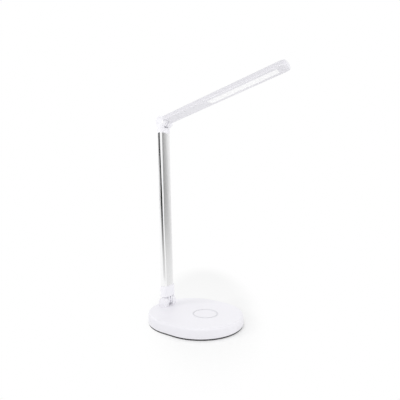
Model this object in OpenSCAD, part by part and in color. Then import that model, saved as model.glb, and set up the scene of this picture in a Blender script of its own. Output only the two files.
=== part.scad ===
// Folding LED desk lamp: an oval weighted base with a charging pad, a flattened aluminium arm
// and a slim light bar, joined by two friction hinges.
//
// The origin is the middle of the pad's underside, on the table. X runs forward, the way the
// light bar points, Y lies along both hinge axes, and Z is up. The arm parts are drawn upright
// about the lower hinge axis and the light bar level about the upper one; at_arm() and
// at_head() put them where they stand. All sizes are millimetres and degrees.

/* [Base outline] */
// Length of the base, back to front
base_length = 171; // [155:1:195]
// Width of the base, side to side
base_width = 150; // [149:1:175]
// Corner radius of the base, seen from above
base_corner = 74; // [62:0.5:74]

/* [Base housing] */
// Height of the base's top face above the table
base_height = 18; // [17:0.5:24]
// Radius of the rounded upper rim of the base
rim_radius = 4; // [3:0.5:6]
// Wall thickness of the base cover
cover_wall = 2.2; // [1.8:0.1:3]
// Thickness of the anti-slip pad under the base
pad_thickness = 2.4; // [1.5:0.1:3]
// How far the anti-slip pad stays inside the base outline
pad_inset = 0.8; // [0.4:0.1:2]
// Thickness of the floor plate that closes the base
floor_thickness = 2; // [1.6:0.1:2.6]
// Play all round between the floor plate and the cover
floor_play = 0.25; // [0.1:0.05:0.5]
// Thickness of the steel ballast plate
ballast_thickness = 5; // [3:0.25:5.5]
// How far the ballast plate stays inside the base outline
ballast_inset = 12; // [11:0.5:20]
// Diameter of the screw bosses under the cover
boss_d = 7; // [6:0.5:8]
// Distance of those bosses' middles from the base outline
boss_inset = 7; // [6:0.5:7.5]
// Directions, seen from above, in which the six bosses stand
boss_angles = [32, 90, 148, 212, 270, 328];

/* [Charging pad and boards] */
// Distance of the charging spot in front of the middle of the base
charge_forward = 21; // [15:1:30]
// Radius of the middle of the soft grip ring on the charging spot
grip_radius = 21; // [18:0.5:24]
// Width of the grip ring
grip_width = 2.4; // [1.6:0.1:3.5]
// Height of the grip ring above the top face
grip_proud = 0.5; // [0.3:0.1:0.9]
// Depth of the groove that holds the grip ring
grip_depth = 0.8; // [0.4:0.1:1]
// Outer radius of the charging coil
coil_radius = 20.5; // [18:0.5:22]
// Radius of the open middle of the charging coil
coil_eye = 9; // [6:0.5:12]
// Thickness of the charging coil
coil_thickness = 1.4; // [0.8:0.1:1.8]
// Radius of the ferrite sheet behind the coil
ferrite_radius = 23; // [22:0.5:25]
// Thickness of the ferrite sheet
ferrite_thickness = 1.2; // [0.8:0.1:1.4]
// Thickness of the locating wall around coil and ferrite
coil_wall = 1.2; // [0.8:0.1:2]
// Length, width and thickness of the touch key board
touch_board_size = [12, 52, 1.4];
// Distance of the touch key board's middle from the front of the base
touch_from_front = 20; // [18:0.5:26]
// Length, width and thickness of the main board
main_board_size = [50, 24, 1.2];
// Distance of the main board's middle behind the middle of the base
main_board_back = 14; // [10:1:18]
// Distance of the main board's middle from the side of the base
main_board_from_side = 33; // [32:0.5:34]
// Length of the spacers that hold the main board under the cover
board_drop = 2.8; // [2.6:0.1:3.2]
// Radius of the board spacers and screw posts
post_radius = 2.2; // [2:0.1:2.5]

/* [Power inlet] */
// Width of the inlet's metal shell
inlet_w = 8.94; // [8:0.02:10]
// Height of the inlet's metal shell
inlet_h = 3.26; // [3:0.02:3.6]
// Depth of the inlet's metal shell
inlet_depth = 7.3; // [6:0.1:7.6]
// Wall of the inlet's metal shell
inlet_wall = 0.35; // [0.25:0.05:0.5]
// How far the inlet's mouth lies inside the back of the base
inlet_recess = 0.5; // [0.2:0.1:1]
// Length, width and thickness of the small board that carries the inlet
inlet_board_size = [8, 18.8, 1.2];
// Height of the posts that carry the inlet board
inlet_post_h = 3.2; // [2.6:0.1:4]

/* [Hinges] */
// Distance of the lower hinge axis from the back edge of the base
hinge_from_back = 20.4; // [19:0.1:24]
// Diameter of the steel hinge pins
pin_d = 5; // [4:0.1:5.6]
// Radial play between a hinge pin and the tongue that turns on it
pin_play = 0.05; // [0.02:0.01:0.09]
// Width of both hinge tongues
tongue_w = 10; // [9:0.25:11]
// Thickness of the friction washers
washer_t = 0.88; // [0.6:0.02:1]
// Play on each face of a friction washer
washer_play = 0.03; // [0.02:0.01:0.05]
// Thickness of each ear's web, which carries the pin
web_t = 2.7; // [2:0.1:3]
// Height of the pin heads and of the nuts
pin_head_h = 2.4; // [2:0.1:2.6]
// Diameter of the pin heads
pin_head_d = 9.2; // [8:0.1:10]
// Width of the nuts across their corners
nut_corners = 9.24; // [8:0.02:10]
// Height of each pair of disc springs
spring_h = 0.8; // [0.6:0.05:0.9]
// Radius of the pockets for pin heads and nuts
pocket_r = 5.6; // [5.2:0.1:5.8]
// Radius of the round hinge covers
hinge_cap_r = 6.45; // [6.1:0.05:6.8]
// Thickness of the round hinge covers
hinge_cap_t = 1.2; // [0.8:0.1:1.3]
// Radius of the lower knuckle
lower_knuckle_r = 7.2; // [6.9:0.1:7.6]
// Radius of the lower hinge's ears
lower_ear_r = 8; // [7.4:0.1:8.2]
// Radius of the upper hinge's knuckle and ears
upper_ear_r = 10; // [9:0.1:11]
// Room under a knuckle in its fork
knuckle_room = 1.4; // [1.2:0.05:3]
// Room under the upper knuckle in its fork
upper_room = 1.8; // [1.5:0.1:4]
// Length, width and thickness of the hinge block's foot
block_foot = [30, 48, 4];
// Width of the slot that the leads take round a knuckle
lead_slot_w = 3.6; // [2.5:0.1:4]
// Depth of that slot
lead_slot_d = 2.2; // [1.5:0.1:2.4]

/* [Arm] */
// Distance from the lower hinge axis to the upper one, along the arm
arm_length = 339.5; // [280:0.5:380]
// How far the upper hinge axis stands in front of the arm's middle
top_axis_forward = 2.4; // [0:0.1:3]
// Backward lean of the arm at rest
arm_lean = 1.9; // [0:0.1:6]
// Width of the arm tube
arm_width = 28; // [27.4:0.1:30]
// Depth of the arm tube, front to back
arm_depth = 13.5; // [12.5:0.1:15]
// Corner radius of the arm tube
arm_corner = 5.2; // [4:0.1:6]
// Wall of the arm tube
arm_wall = 1.3; // [1:0.1:1.6]
// Wall of the foot's collar around the tube
collar_wall = 1.1; // [0.8:0.1:1.6]
// Height of the collar's upper edge above the lower hinge axis
collar_top = 29; // [26:0.5:36]
// Length of the tube inside the collar
tube_seat = 15; // [10:0.5:18]
// Length of the spigots inside the tube
spigot_l = 24; // [18:0.5:30]
// Play between a spigot or collar and the tube
tube_play = 0.05; // [0.02:0.01:0.15]
// Distance of the tube's upper end below the upper hinge axis
tube_end_below = 22; // [20:0.5:28]
// Radius of the lead inside the arm
lead_r = 1.5; // [1:0.1:1.7]

/* [Light bar] */
// Length of the light bar from the upper hinge axis to its tip
head_length = 249; // [200:1:300]
// Width of the light bar
head_width = 28; // [27:0.1:32]
// Thickness of the light bar
head_thickness = 8.4; // [7.6:0.1:9]
// Height of the light bar's middle above the upper hinge axis
head_rise = 2.35; // [2.1:0.05:2.6]
// Upward tilt of the light bar at rest
head_tilt = 11.6; // [0:0.1:30]
// Radius of the light bar's corners at the tip, seen from above
head_corner = 7; // [4:0.5:12]
// Radius of the light bar's upper edges
head_edge = 2; // [1.2:0.1:2.4]
// Radius of the light bar's lower edges
head_lower_edge = 0.6; // [0.3:0.1:0.6]
// Wall of the light bar's shell
head_wall = 1.4; // [1.1:0.1:1.6]
// Thickness of the frame that closes the light bar from below
frame_t = 1.4; // [1.2:0.1:1.8]
// Room between the light bar's end and the hinge's ears
ear_room = 0.5; // [0.4:0.1:1.5]
// Thickness of the lip that centres the frame in the shell
lip_t = 1; // [0.8:0.1:1.2]
// Play between that lip and the shell
lip_play = 0.1; // [0.05:0.05:0.2]
// Distance of the light window's inner end from the upper hinge axis
window_start = 105; // [75:1:115]
// Distance of the light window's outer end from the tip
window_from_tip = 16; // [12:1:30]
// Width of the light window
window_w = 15.4; // [10:0.1:17]
// Radius of the light window's corners
window_corner = 1.5; // [0.5:0.5:4]
// Depth of the diffuser's face inside the frame
diffuser_sunk = 0.3; // [0.1:0.1:0.6]
// Play between the diffuser and its window
diffuser_play = 0.15; // [0.05:0.05:0.25]
// Width of the diffuser's flange behind the frame
flange_w = 1.5; // [1:0.1:2]
// Thickness of the diffuser's flange
flange_t = 0.8; // [0.6:0.1:1]
// Thickness of the aluminium heat spreader
spreader_t = 1.2; // [0.8:0.1:1.2]
// Thickness of the LED board
led_board_t = 1; // [0.8:0.1:1.2]
// Length, width and height of one LED
led_size = [2.8, 3.5, 0.7];
// Number of LEDs in one row
led_count = 18; // [8:1:20]
// Distance between the two rows of LEDs
led_row_gap = 8; // [5:0.5:8]
// Length, width and thickness of the knuckle's plate inside the light bar
knuckle_plate = [38, 20, 2];

/* [Screws] */
// Diameter of the floor, ballast and arm screws
screw_d = 3; // [2.5:0.1:3.4]
// Diameter of the heads of those screws
screw_head_d = 5.6; // [5:0.1:6]
// Diameter of the small screws in the boards and the light bar
small_screw_d = 2; // [1.6:0.1:2.2]
// Diameter of the heads of the small screws
small_head_d = 3.8; // [3.4:0.1:4.2]
// Diameter of the four bolts that hold the hinge block
block_bolt_d = 4; // [3.5:0.1:4.5]
// Diameter of the heads of those bolts
block_head_d = 7.6; // [7:0.1:8]
// Radial play of every screw in its hole
screw_play = 0.02; // [0.01:0.01:0.05]
// Length of the screws that hold the floor plate
cover_screw_l = 8; // [6:0.5:9]
// Distance of the rear ballast screws from the back of the base
ballast_screw_back = 47.5; // [46:0.5:52]
// Distance of the front ballast screws from the front of the base
ballast_screw_front = 33.5; // [30:0.5:36]
// Distance of the ballast screws from the side of the base
ballast_screw_side = 41; // [36:0.5:44]

/* [Hidden] */
$fn = 96;
// Overshoot of a cut past the face it opens
cut = 1;

// Plays and gaps between pieces
cap_play = 0.05;
grip_play = 0.05;
seat_gap = 0.01;
spring_play = 0.1;
spring_room = 0.3;
block_play = 0.3;
inlet_play = 0.2;
board_hole_play = 0.1;
neck_play = 0.1;
boss_play = 0.1;
coil_room = 0.2;
lead_play = 0.15;
collar_gap = 0.8;
washer_inset = 0.4;
tip_room = 0.5;
tip_gap = 0.1;

// Softened edges and small corners
cap_edge = 0.3;
collar_edge = 0.5;
ear_edge = 1;
grip_edge = 0.4;
ear_corner = 0.8;
board_corner = 1;
block_corner = 3;
plate_corner = 2;

// Heads, sockets and bosses of the small hardware
small_head_h = 0.9;
socket_floor_share = 0.4;
socket_width_share = 0.6;
pin_socket_share = 0.7;
pin_overrun = 0.1;
cap_sunk = 0.15;
sheet_share = 0.4;
small_boss_d = 5;
screw_roof_t = 0.7;
spigot_bite = 3;

// Outlines of the base and the arm: half size along X, half size along Y, corner radius
base_outline = [base_length / 2, base_width / 2, base_corner];
arm_outline = [arm_depth / 2, arm_width / 2, arm_corner];

// Heights inside the base
floor_top = pad_thickness + floor_thickness;
ballast_top = floor_top + ballast_thickness;
ceiling = base_height - cover_wall;
board_top = ceiling - board_drop;
board_under = board_top - main_board_size.z;
grip_groove_floor = base_height - grip_depth;
ferrite_under = ceiling - coil_thickness - ferrite_thickness;

// Hinge hardware, measured along the pin from the middle of the tongue
fork_half = tongue_w / 2 + washer_t + 2 * washer_play;
web_out = fork_half + web_t;
nut_at = web_out + spring_h;
pin_r = pin_d / 2;
upper_out = arm_width / 2;
lower_out = arm_width / 2 + collar_wall;
cap_pocket_r = hinge_cap_r + cap_play;

// Lower hinge
lower_x = -base_length / 2 + hinge_from_back;
collar_half_depth = arm_depth / 2 + collar_wall;
fold_room = 0.6;
lower_z = base_height + collar_half_depth + fold_room;
fork_floor = lower_z - lower_knuckle_r - knuckle_room;
block_foot_top = ballast_top + block_foot.z;
collar_under = lower_ear_r + collar_gap;
lead_bore_r = lead_r + lead_play;
lead_cover = 0.2;
lead_turn = collar_under - lead_cover - lead_slot_w / 2;
foot_screw_l = collar_wall + arm_wall + spigot_bite;
top_screw_l = arm_wall + spigot_bite;

// Upper hinge and light bar, measured from the upper hinge axis
tube_end = arm_length - tube_end_below;
crotch = -upper_ear_r - upper_room;
bar_under = head_rise - head_thickness / 2;
bar_top = head_rise + head_thickness / 2;
seam = bar_under + frame_t;
screw_roof = bar_top - screw_roof_t;
bar_ceiling = bar_top - head_wall;
root_r = upper_ear_r + ear_room;
root_wall = 1.8;
root_inner = root_r + root_wall;
plate_drop = 1.6;
plate_top = bar_ceiling - plate_drop;
plate_under = plate_top - knuckle_plate.z;
plate_room = 0.6;
plate_start = root_inner + plate_room;
window_end = head_length - window_from_tip;
window_mid = (window_start + window_end) / 2;
window_l = window_end - window_start;
spreader_under = bar_ceiling - spreader_t;
led_board_under = spreader_under - led_board_t;
frame_screw_beyond = 6;
frame_screw_inset = 5;
frame_screw_x = plate_start + knuckle_plate.x + frame_screw_beyond;
frame_screw_y = head_width / 2 - frame_screw_inset;
spreader_margin = 4;
spreader_start = frame_screw_x + spreader_margin;
spreader_end = head_length - head_wall - spreader_margin;
lip_h = 1;
lip_start = 4;

// Where the bolts, screws, posts and components stand
block_bolt_x = [-4.5, 15];
block_bolt_inset = 5;
block_ledge = 1;
block_bolts = [
    for (x = block_bolt_x, y = [-1, 1])
        [lower_x + x, y * (block_foot.y / 2 - block_bolt_inset)]
];
block_rear = lower_x - lower_ear_r - block_ledge;
ballast_screw_spots = [
    for (x = [ballast_screw_back - base_length / 2, base_length / 2 - ballast_screw_front],
         y = [-1, 1])
        [x, y * (base_width / 2 - ballast_screw_side)]
];
main_board_at = [-main_board_back, base_width / 2 - main_board_from_side];
post_inset = 3;
main_post_spots = [
    for (x = [-1, 1], y = [-1, 1])
        [main_board_at.x + x * (main_board_size.x / 2 - post_inset),
         main_board_at.y + y * (main_board_size.y / 2 - post_inset)]
];
choke_width = 7;
choke_spots = [[-14, -4], [-5, -4]];
capacitor_r = 2.4;
capacitor_spots = [[4, 5.5], [10, 5.5], [16, 5.5]];
chip_size = [6, 6, 1];
chip_spots = [[-10, 6], [7, -4]];
connector_size = [4, 8];
connector_spot = [16, -4];
inlet_mouth = -base_length / 2 + inlet_recess;
inlet_board_gap = 1.2;
inlet_board_back = -base_length / 2 + cover_wall + inlet_board_gap;
inlet_board_under = floor_top + inlet_post_h;
inlet_board_top = inlet_board_under + inlet_board_size.z;
inlet_post_at = 5.2;
inlet_post_inset = 2.3;
inlet_posts = [
    for (y = [-1, 1])
        [inlet_board_back + inlet_post_at, y * (inlet_board_size.y / 2 - inlet_post_inset)]
];
plate_screw_near = 6;
plate_screw_far = 5;
plate_screw_side = 6;
plate_screw_spots = [
    [plate_start + plate_screw_near, 0],
    [plate_start + knuckle_plate.x - plate_screw_far, -plate_screw_side],
    [plate_start + knuckle_plate.x - plate_screw_far, plate_screw_side]
];

// ---------- Outlines ----------

// Point on a rounded oblong, drawn in by inset, where the wall faces the given direction
function oblong_point(o, angle, inset) =
    [sign(cos(angle)) * (o[0] - o[2]) + (o[2] - inset) * cos(angle),
     sign(sin(angle)) * (o[1] - o[2]) + (o[2] - inset) * sin(angle)];

// Half section between two distances from an axis, with a rounded outer upper edge
module rim_section(inner, outer, low, high, edge) {
    if (edge > 0) {
        translate([inner, low]) square([outer - inner, high - edge - low]);
        translate([inner, low]) square([outer - edge - inner, high - low]);
        translate([outer - edge, high - edge]) circle(edge);
    } else {
        translate([inner, low]) square([outer - inner, high - low]);
    }
}

// Solid over a rounded oblong drawn in by inset, from low to high, with a rounded upper edge
module oblong_body(o, inset, low, high, edge = 0) {
    corner = o[2] - inset;
    x = o[0] - o[2];
    y = o[1] - o[2];
    for (turn = [0, 180])
        rotate(turn) {
            translate([x, y, 0])
                rotate_extrude(angle = 90) rim_section(0, corner, low, high, edge);
            translate([-x, y, 0])
                rotate(90) rotate_extrude(angle = 90) rim_section(0, corner, low, high, edge);
            translate([-x, y, 0])
                rotate([90, 0, 90]) linear_extrude(2 * x) rim_section(-y, corner, low, high, edge);
            translate([x, y, 0])
                rotate([90, 0, 0]) linear_extrude(2 * y) rim_section(0, corner, low, high, edge);
        }
}

// Flat box with round corners seen from above, standing on z = 0
module rounded_plate(size, corner) {
    linear_extrude(size.z) {
        square([size.x - 2 * corner, size.y], center = true);
        square([size.x, size.y - 2 * corner], center = true);
        for (x = [-1, 1], y = [-1, 1])
            translate([x * (size.x / 2 - corner), y * (size.y / 2 - corner)])
                circle(corner);
    }
}

// Slot with round ends along Y, cut or filled along X from x = 0
module round_slot(depth, width, height) {
    rotate([90, 0, 90])
        linear_extrude(depth) {
            square([width - height, height], center = true);
            for (side = [-1, 1])
                translate([side * (width - height) / 2, 0])
                    circle(height / 2);
        }
}

// Box given by its low and high corners
module block(low, high) {
    translate(low) cube(high - low);
}

// Round bar along Y between two places
module bar_y(r, from, to) {
    translate([0, from, 0]) rotate([-90, 0, 0]) cylinder(r = r, h = to - from);
}

// ---------- Screws ----------

// Flat-headed screw: the head's upper face is at z = 0 and the shank points down
module countersunk(d, head_d, length) {
    sink = (head_d - d) / 2;
    translate([0, 0, -sink]) cylinder(d1 = d, d2 = head_d, h = sink);
    translate([0, 0, -length]) cylinder(d = d, h = length - sink);
}

// Hole for a flat-headed screw
module countersunk_hole(d, head_d, length) {
    countersunk(d + 2 * screw_play, head_d + 2 * screw_play, length);
    translate([0, 0, -screw_play]) cylinder(d = head_d + 2 * screw_play, h = cut);
}

// Low-headed screw: the head stands on z = 0 and the shank points down
module pan_head(d, head_d, head_h, length) {
    difference() {
        union() {
            cylinder(d = head_d, h = head_h);
            translate([0, 0, -length]) cylinder(d = d, h = length);
        }
        translate([0, 0, head_h * socket_floor_share])
            cylinder(d = d * socket_width_share, h = head_h, $fn = 6);
    }
}

// ---------- Hinge hardware, about the Y axis ----------

// Shouldered pin with a socket in its head
module hinge_pin() {
    color("silver")
        difference() {
            union() {
                bar_y(pin_r, -web_out, nut_at + pin_head_h + pin_overrun);
                bar_y(pin_head_d / 2, -web_out - pin_head_h, -web_out);
            }
            translate([0, -web_out - pin_head_h, 0])
                rotate([-90, 0, 0])
                    translate([0, 0, -cut])
                        cylinder(d = pin_d * pin_socket_share,
                                 h = cut + pin_head_h * (1 - socket_floor_share), $fn = 6);
        }
}

// Thin hexagon nut at the far end of the pin
module hinge_nut() {
    color("silver")
        difference() {
            translate([0, nut_at, 0])
                rotate([-90, 0, 0])
                    cylinder(d = nut_corners, h = pin_head_h, $fn = 6);
            bar_y(pin_r + screw_play, nut_at - cut, nut_at + pin_head_h + cut);
        }
}

// Pair of disc springs, cupped towards each other, between web and nut
module disc_springs() {
    inner = pin_r + spring_play;
    outer = pocket_r - spring_room;
    sheet = spring_h * sheet_share;
    nip = spring_h / 2 - seat_gap;
    color("dimgray")
        for (side = [0, 1])
            translate([0, web_out + side * spring_h, 0])
                rotate([-90, 0, 0])
                    mirror([0, 0, side])
                        rotate_extrude()
                            polygon([
                                [inner, nip - sheet], [outer, 0], [outer, sheet], [inner, nip]
                            ]);
}

// Friction washers on both sides of a tongue
module friction_washers(reach) {
    color("whitesmoke")
        for (side = [-1, 1])
            translate([0, side * (tongue_w / 2 + washer_play + washer_t / 2), 0])
                rotate([90, 0, 0])
                    difference() {
                        cylinder(r = reach, h = washer_t, center = true);
                        cylinder(r = pin_r + spring_play, h = washer_t + cut, center = true);
                    }
}

// Round covers pressed into both ears
module hinge_caps(out) {
    color("whitesmoke")
        for (side = [0, 1])
            mirror([0, side, 0])
                translate([0, out - hinge_cap_t, 0])
                    rotate([-90, 0, 0])
                        rotate_extrude()
                            rim_section(0, hinge_cap_r, 0, hinge_cap_t - cap_sunk, cap_edge);
}

// What is cut from a fork for the pin, its head, the nut and the covers
module ear_cuts(out) {
    bar_y(pin_r + screw_play, -out - cut, out + cut);
    for (side = [0, 1])
        mirror([0, side, 0]) {
            bar_y(pocket_r, web_out, out + cut);
            bar_y(cap_pocket_r, out - hinge_cap_t, out + cut);
        }
}

// Ear discs with softened outer edges, before the fork is cut
module ear_drum(r, out) {
    for (side = [0, 1])
        mirror([0, side, 0])
            rotate([-90, 0, 0])
                rotate_extrude()
                    rim_section(0, r, 0, out, ear_edge);
}

// Slot that lets the leads run round a knuckle, between two radii
module lead_slot(r) {
    difference() {
        bar_y(r + cut, -lead_slot_w / 2, lead_slot_w / 2);
        bar_y(r - lead_slot_d, -lead_slot_w, lead_slot_w);
    }
}

// ---------- Places ----------

module at_lower() {
    translate([lower_x, 0, lower_z]) children();
}

module at_arm() {
    at_lower() rotate([0, -arm_lean, 0]) children();
}

module at_upper() {
    at_arm() translate([top_axis_forward, 0, arm_length]) children();
}

module at_head() {
    at_upper() rotate([0, arm_lean - head_tilt, 0]) children();
}

// ---------- Base ----------

module base_cover() {
    boss_roof = 2;
    post_hole_extra = 0.6;
    play = 2 * block_play;
    color("white")
        difference() {
            union() {
                difference() {
                    oblong_body(base_outline, 0, pad_thickness, base_height, rim_radius);
                    oblong_body(base_outline, cover_wall, pad_thickness - cut, ceiling,
                             rim_radius - cover_wall);
                }
                cover_inside();
            }
            for (angle = boss_angles)
                translate(oblong_point(base_outline, angle, boss_inset))
                    translate([0, 0, floor_top - cut])
                        cylinder(d = screw_d + 2 * screw_play,
                                 h = ceiling - boss_roof - floor_top + cut);
            for (spot = main_post_spots)
                translate([spot.x, spot.y, board_top - cut])
                    cylinder(d = small_screw_d + 2 * screw_play, h = cut + board_drop + post_hole_extra);
            translate([charge_forward, 0, grip_groove_floor])
                difference() {
                    cylinder(r = grip_radius + grip_width / 2 + grip_play, h = grip_depth + cut);
                    translate([0, 0, -cut])
                        cylinder(r = grip_radius - grip_width / 2 - grip_play,
                                 h = grip_depth + 3 * cut);
                }
            translate([lower_x, 0, ceiling - cut])
                rounded_plate([2 * lower_ear_r + play, 2 * lower_out + play, cover_wall + 2 * cut],
                              ear_corner + block_play);
            translate([-base_length / 2 - cut, 0, inlet_board_top + inlet_h / 2])
                round_slot(cut + cover_wall + cut, inlet_w + 2 * inlet_play,
                           inlet_h + 2 * inlet_play);
        }
}

// Bosses, posts, ribs and locating walls moulded under the cover's top
module cover_inside() {
    top = ceiling + cover_wall / 2;
    rib_half = 0.6;
    rib_lift = 2;
    rib_depth = 2.2;
    rib_spread = 8;
    rib_start = sqrt(ferrite_radius^2 - rib_spread^2) + coil_wall;
    rib_end = base_width / 2 - boss_inset - boss_d;
    for (angle = boss_angles)
        translate(oblong_point(base_outline, angle, boss_inset)) {
            translate([0, 0, floor_top]) cylinder(d = boss_d, h = top - floor_top);
            rotate(angle)
                block([0, -rib_half, floor_top + rib_lift],
                      [boss_inset - cover_wall / 2, rib_half, top]);
        }
    for (spot = main_post_spots)
        translate([spot.x, spot.y, board_top]) cylinder(r = post_radius, h = top - board_top);
    translate([charge_forward, 0, ferrite_under])
        difference() {
            cylinder(r = ferrite_radius + coil_room + coil_wall, h = top - ferrite_under);
            translate([0, 0, -cut])
                cylinder(r = ferrite_radius + coil_room, h = ceiling - ferrite_under + cut);
        }
    for (side = [0, 180], x = [-rib_spread, rib_spread])
        translate([charge_forward, 0, 0])
            rotate(side)
                block([x - rib_half, rib_start, ceiling - rib_depth],
                      [x + rib_half, rib_end, top]);
}

module floor_plate() {
    blind = 0.6;
    color("gainsboro")
        difference() {
            union() {
                oblong_body(base_outline, cover_wall + floor_play, pad_thickness, floor_top);
                for (spot = inlet_posts)
                    translate([spot.x, spot.y, floor_top]) cylinder(r = post_radius, h = inlet_post_h);
            }
            for (angle = boss_angles)
                translate(oblong_point(base_outline, angle, boss_inset))
                    translate([0, 0, pad_thickness])
                        mirror([0, 0, 1])
                            countersunk_hole(screw_d, screw_head_d, floor_thickness + cut);
            for (spot = ballast_screw_spots)
                translate([spot.x, spot.y, pad_thickness])
                    mirror([0, 0, 1])
                        countersunk_hole(screw_d, screw_head_d, floor_thickness + cut);
            for (spot = inlet_posts)
                translate([spot.x, spot.y, floor_top - blind])
                    cylinder(d = small_screw_d + 2 * screw_play, h = inlet_post_h + cut);
        }
}

module antislip_pad() {
    color("#26262a") oblong_body(base_outline, pad_inset, 0, pad_thickness);
}

module ballast_plate() {
    color("darkgray")
        difference() {
            oblong_body(base_outline, ballast_inset, floor_top, ballast_top);
            for (spot = ballast_screw_spots)
                translate([spot.x, spot.y, floor_top - cut])
                    cylinder(d = screw_d + 2 * screw_play, h = ballast_thickness + 2 * cut);
            for (spot = block_bolts)
                translate([spot.x, spot.y, floor_top - cut])
                    cylinder(d = block_bolt_d + 2 * screw_play, h = ballast_thickness + 2 * cut);
        }
}

module ballast_screws() {
    color("silver")
        for (spot = ballast_screw_spots)
            translate([spot.x, spot.y, pad_thickness])
                mirror([0, 0, 1])
                    countersunk(screw_d, screw_head_d,
                                floor_thickness + ballast_thickness - tip_room);
}

module cover_screws() {
    color("silver")
        for (angle = boss_angles)
            translate(oblong_point(base_outline, angle, boss_inset))
                translate([0, 0, pad_thickness])
                    mirror([0, 0, 1])
                        countersunk(screw_d, screw_head_d, cover_screw_l);
}

module grip_ring() {
    color("lightgray")
        translate([charge_forward, 0, grip_groove_floor])
            rotate_extrude()
                translate([grip_radius - grip_width / 2, 0])
                    ring_section();
}

// Section of the grip ring: a strip with rounded shoulders
module ring_section() {
    h = grip_depth + grip_proud;
    soft = min(grip_edge, grip_proud);
    square([grip_width, h - soft]);
    translate([soft, 0]) square([grip_width - 2 * soft, h]);
    for (x = [soft, grip_width - soft])
        translate([x, h - soft]) circle(soft);
}

module charging_coil() {
    color("chocolate")
        translate([charge_forward, 0, ceiling - coil_thickness])
            difference() {
                cylinder(r = coil_radius, h = coil_thickness);
                translate([0, 0, -cut]) cylinder(r = coil_eye, h = coil_thickness + 2 * cut);
            }
}

module ferrite_sheet() {
    color("dimgray")
        translate([charge_forward, 0, ferrite_under])
            cylinder(r = ferrite_radius, h = ferrite_thickness);
}

module touch_board() {
    color("seagreen")
        translate([base_length / 2 - touch_from_front, 0, ceiling - touch_board_size.z])
            rounded_plate(touch_board_size, board_corner);
}

module main_board() {
    color("seagreen")
        difference() {
            translate([main_board_at.x, main_board_at.y, board_under])
                rounded_plate(main_board_size, board_corner);
            for (spot = main_post_spots)
                translate([spot.x, spot.y, board_under - cut])
                    cylinder(d = small_screw_d + 2 * board_hole_play,
                             h = main_board_size.z + 2 * cut);
        }
}

// Chokes, capacitors, chips and a connector that stand on the main board
module board_components() {
    headroom = 0.4;
    high = board_drop - headroom;
    corner = choke_width / 10;
    color("dimgray")
        translate([main_board_at.x, main_board_at.y, board_top]) {
            for (spot = choke_spots)
                translate(spot) rounded_plate([choke_width, choke_width, high], corner);
            for (spot = capacitor_spots)
                translate(spot) cylinder(r = capacitor_r, h = high);
            for (spot = chip_spots)
                translate(spot) rounded_plate(chip_size, corner / 2);
            translate(connector_spot)
                rounded_plate([connector_size.x, connector_size.y, high], corner / 2);
        }
}

module board_screws() {
    color("silver") {
        for (spot = main_post_spots)
            translate([spot.x, spot.y, board_under])
                mirror([0, 0, 1])
                    pan_head(small_screw_d, small_head_d, small_head_h,
                             main_board_size.z + board_drop);
        for (spot = inlet_posts)
            translate([spot.x, spot.y, inlet_board_top])
                pan_head(small_screw_d, small_head_d, small_head_h,
                         inlet_board_size.z + inlet_post_h);
    }
}

module inlet_board() {
    color("seagreen")
        difference() {
            translate([inlet_board_back + inlet_board_size.x / 2, 0, inlet_board_under])
                rounded_plate(inlet_board_size, board_corner);
            for (spot = inlet_posts)
                translate([spot.x, spot.y, inlet_board_under - cut])
                    cylinder(d = small_screw_d + 2 * board_hole_play,
                             h = inlet_board_size.z + 2 * cut);
        }
}

// Oval metal shell with its contact tongue
module power_inlet() {
    end_wall = 1;
    tongue_back = 1.2;
    tongue_share = 0.74;
    tongue_t = 0.7;
    tongue = [inlet_depth - tongue_back, inlet_w * tongue_share, tongue_t];
    color("silver")
        translate([inlet_mouth, 0, inlet_board_top + inlet_h / 2]) {
            difference() {
                round_slot(inlet_depth, inlet_w, inlet_h);
                translate([-cut, 0, 0])
                    round_slot(inlet_depth - end_wall + cut, inlet_w - 2 * inlet_wall,
                               inlet_h - 2 * inlet_wall);
            }
            translate([inlet_depth - end_wall / 2 - tongue.x / 2, 0, -tongue.z / 2])
                rounded_plate(tongue, tongue_t / 2);
        }
}

// ---------- Lower hinge ----------

// Cast block with two ears: its foot is bolted to the ballast and its ears pass the cover
module hinge_block() {
    color("white")
        difference() {
            union() {
                translate([block_rear + block_foot.x / 2, 0, ballast_top])
                    rounded_plate(block_foot, block_corner);
                translate([lower_x, 0, ballast_top])
                    rounded_plate([2 * lower_ear_r, 2 * lower_out, lower_z - ballast_top], ear_corner);
                at_lower() ear_drum(lower_ear_r, lower_out);
            }
            block([lower_x - lower_ear_r - cut, -fork_half, fork_floor],
                  [lower_x + lower_ear_r + cut, fork_half, lower_z + lower_ear_r + cut]);
            at_lower() ear_cuts(lower_out);
            for (spot = block_bolts)
                translate([spot.x, spot.y, ballast_top - cut])
                    cylinder(d = block_bolt_d + 2 * screw_play, h = block_foot.z + 2 * cut);
            translate([lower_x + lower_knuckle_r - lead_slot_d / 2, 0, ballast_top - cut])
                cylinder(r = lead_bore_r, h = fork_floor - ballast_top + 2 * cut);
        }
}

module hinge_block_bolts() {
    color("silver")
        for (spot = block_bolts)
            translate([spot.x, spot.y, block_foot_top])
                pan_head(block_bolt_d, block_head_d, ceiling - block_foot_top - block_play,
                         block_foot.z + ballast_thickness - tip_room);
}

module lower_pin() {
    at_lower() hinge_pin();
}

module lower_disc_springs() {
    at_lower() disc_springs();
}

module lower_nut() {
    at_lower() hinge_nut();
}

module lower_washers() {
    at_lower() friction_washers(lower_knuckle_r - washer_inset);
}

module lower_hinge_caps() {
    at_lower() hinge_caps(lower_out);
}

// ---------- Arm ----------

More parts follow.
